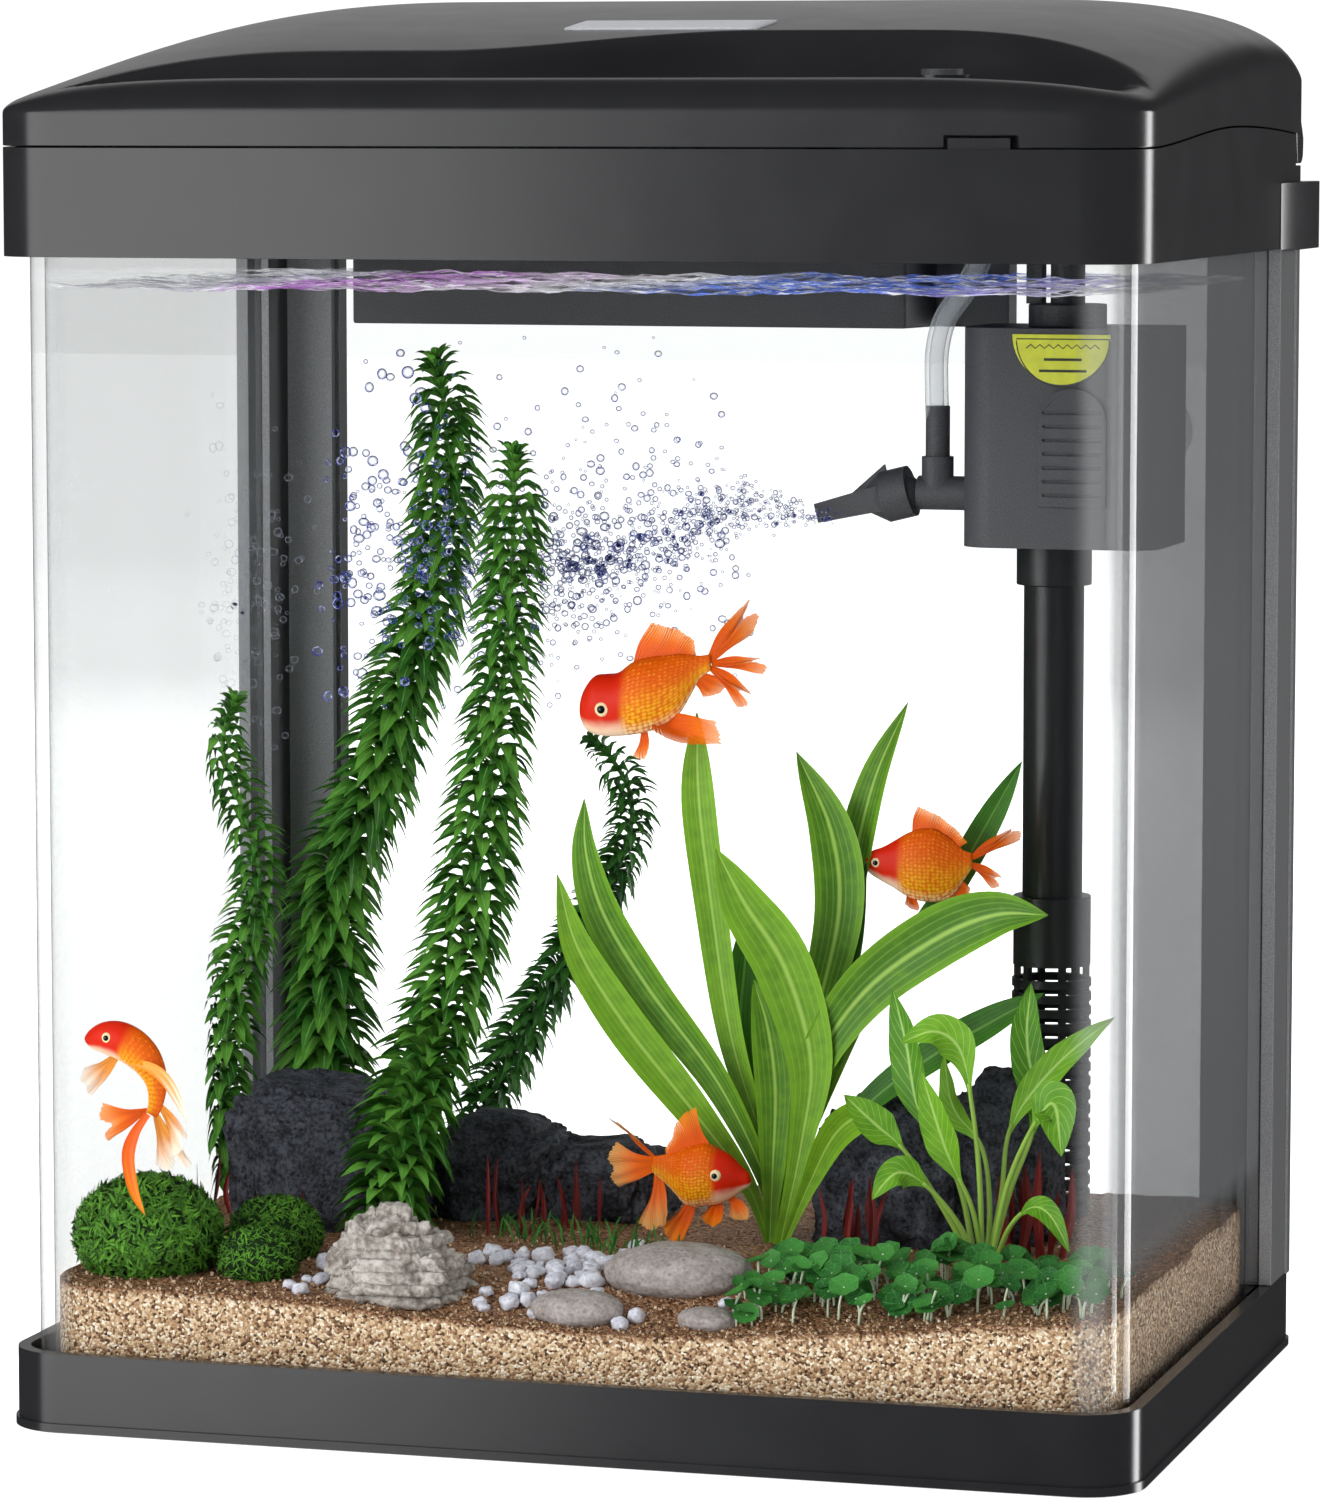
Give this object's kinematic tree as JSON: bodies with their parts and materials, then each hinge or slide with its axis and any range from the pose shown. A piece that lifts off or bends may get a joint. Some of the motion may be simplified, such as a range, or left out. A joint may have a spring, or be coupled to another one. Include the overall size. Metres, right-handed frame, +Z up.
{
  "type": "aquarium",
  "caption": "Desktop aquarium: bent glass tank in a base tray, hinged lamp hood, trickle filter box, internal pump with riser and strainer, planted gravel bed.",
  "frame": {"origin": "on the surface the base tray stands on, under the middle of the tank", "axes": "+X to the right seen from the front, +Y to the back, +Z up"},
  "size_m": [0.326, 0.235, 0.3944],
  "materials": {
    "hood_plastic": "semi-gloss black moulding",
    "dark_plastic": "fine-grained charcoal moulding",
    "tank_glass": "clear polished",
    "silicone": "translucent",
    "rubber_seal": "matt",
    "steel_pin": "drawn",
    "filter_foam": "open-cell foam",
    "silver_plate": "satin",
    "lamp_white": "satin",
    "lamp_lens": "frosted",
    "label_yellow": "printed film",
    "motor_resin": "potted",
    "ceramic_shaft": "ground",
    "magnet": "sintered",
    "impeller_white": "satin",
    "clear_tube": "clear",
    "gravel": "loose grains",
    "lava_stone": "rough",
    "pale_stone": "rough",
    "white_pebble": "tumbled",
    "moss": "fibrous",
    "leaf_green": "satin",
    "leaf_red": "satin"
  },
  "bodies": {
    "tank": {"base_tray": "hood_plastic", "bottom_glass": "tank_glass", "front_glass": "tank_glass", "rear_glass": "tank_glass", "silicone_beads": "silicone", "rear_post_left": "dark_plastic", "rear_post_right": "dark_plastic", "hood_frame": "hood_plastic", "rear_housing": "hood_plastic", "cable_grommet": "rubber_seal", "hinge_pins": "steel_pin", "filter_box": "dark_plastic", "filter_sponge": "filter_foam", "filter_grid": "dark_plastic", "pump_case": "dark_plastic", "pump_back": "dark_plastic", "pump_grip": "dark_plastic", "pump_label": "label_yellow", "pump_stator": "motor_resin", "rotor_shaft": "ceramic_shaft", "suction_cups": "silicone", "outlet_collar": "dark_plastic", "outlet_pipe": "dark_plastic", "tee_fitting": "dark_plastic", "air_tube": "clear_tube", "air_inlet": "dark_plastic", "riser_tube": "dark_plastic", "gravel_bed": "gravel", "lava_rocks": "lava_stone", "layered_stone": "pale_stone", "flat_stones": "pale_stone", "pebbles": "white_pebble", "moss_balls": "moss", "stem_plant_a": "leaf_green", "stem_plant_b": "leaf_green", "stem_plant_c": "leaf_green", "stem_plant_d": "leaf_green", "sword_plant": "leaf_green", "broadleaf_plant": "leaf_green", "ground_cover": "leaf_green", "red_grass": "leaf_red"},
    "lid": {"lid_shell": "hood_plastic", "lid_liner": "dark_plastic", "lid_ears": "hood_plastic", "lid_plate": "silver_plate", "button_bezel": "hood_plastic", "led_housing": "lamp_white", "led_board": "lamp_white", "led_lens": "lamp_lens"},
    "button": {"light_button": "dark_plastic"},
    "rotor": {"rotor_magnet": "magnet", "impeller": "impeller_white"},
    "swivel": {"swivel_ball": "dark_plastic"},
    "nozzle": {"nozzle": "dark_plastic"},
    "strainer": {"strainer": "dark_plastic"}
  },
  "joints": [
    {"name": "lid_hinge", "type": "hinge", "parent": "tank", "child": "lid", "pos_m": [0, 0.1125, 0.3448], "axis": [-1, 0, 0], "range_deg": [0, 80]},
    {"name": "button_press", "type": "slide", "parent": "lid", "child": "button", "axis": [0, 0, -1], "range_m": [0, 0.001], "stiffness_N_per_m": 300, "springref_m": -0.001},
    {"name": "rotor_spin", "type": "hinge", "parent": "tank", "child": "rotor", "pos_m": [0.098, 0.061, 0.26], "axis": [0, 0, 1], "continuous": true},
    {"name": "nozzle_spin", "type": "hinge", "parent": "tank", "child": "swivel", "pos_m": [0.05505, 0.056, 0.253], "axis": [1, 0, 0], "continuous": true},
    {"name": "nozzle_tilt", "type": "hinge", "parent": "swivel", "child": "nozzle", "pos_m": [0.05505, 0.056, 0.253], "axis": [0, 1, 0], "range_deg": [-6, 34]},
    {"name": "strainer_slide", "type": "slide", "parent": "tank", "child": "strainer", "axis": [0, 0, 1], "range_m": [0, 0.05]}
  ]
}
